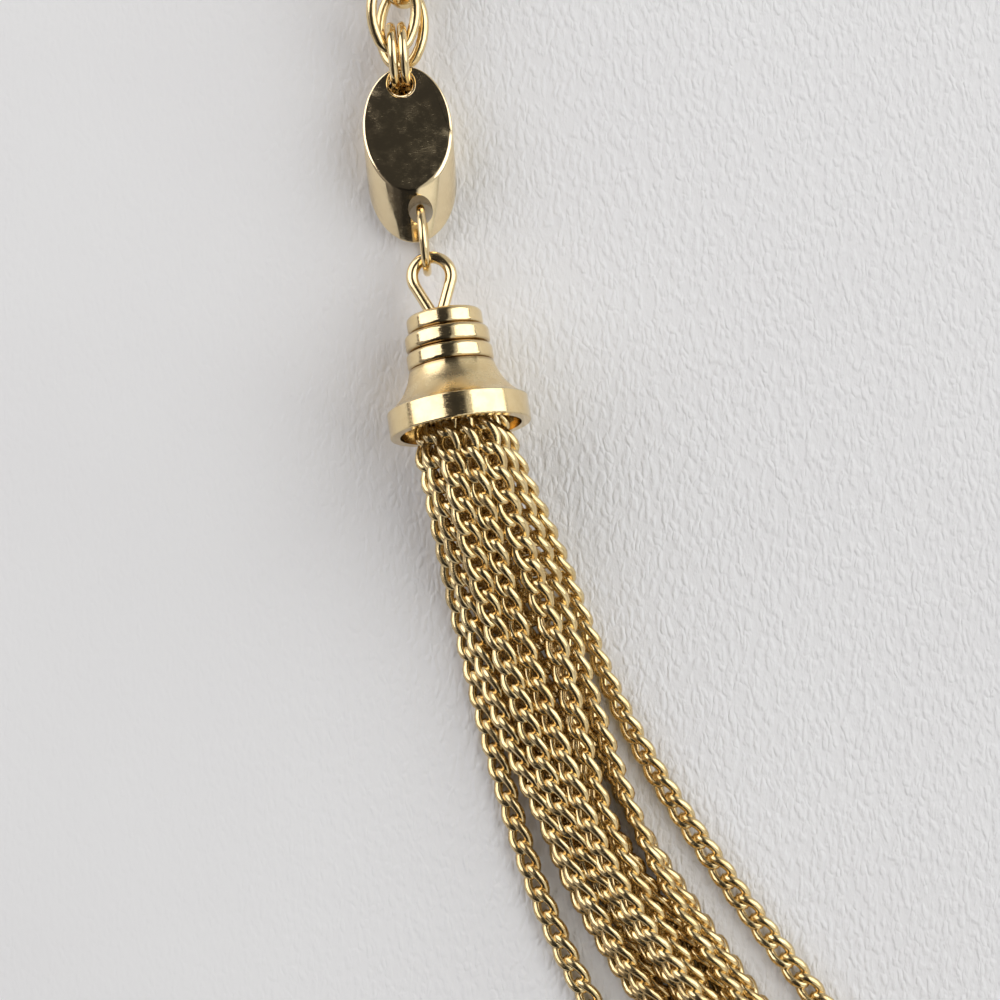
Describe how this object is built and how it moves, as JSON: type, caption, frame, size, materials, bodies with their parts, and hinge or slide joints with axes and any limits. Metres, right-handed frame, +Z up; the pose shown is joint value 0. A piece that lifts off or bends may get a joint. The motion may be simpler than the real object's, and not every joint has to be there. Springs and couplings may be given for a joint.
{
  "type": "tassel necklace",
  "caption": "Long necklace in a loop of oval cable links, with paired rings, a slanted oval connector, a wire eye and a ribbed bell cap over a tassel of fine chains.",
  "frame": {"origin": "on the surface that the necklace lies on, under the middle of its outer box", "axes": "+X to the right across the necklace, +Y along it from the tassel to the clasp ring, +Z up from the surface"},
  "size_m": [0.136, 0.3581, 0.0118],
  "materials": {
    "gold_chain": "polished gold-coloured wire",
    "gold_polished": "polished gold-coloured plating",
    "gold_satin": "turned and satin-brushed gold-coloured plating",
    "gold_tassel": "fine bright gold-coloured chain"
  },
  "bodies": {
    "root": {"chain_left": "gold_chain", "chain_right": "gold_chain", "jump_ring_left": "gold_polished", "jump_ring_right": "gold_polished", "slanted_connector": "gold_polished", "small_ring": "gold_polished", "eye_loop": "gold_polished", "tassel_cap": "gold_satin", "tassel": "gold_tassel", "clasp_ring": "gold_polished"}
  },
  "joints": []
}
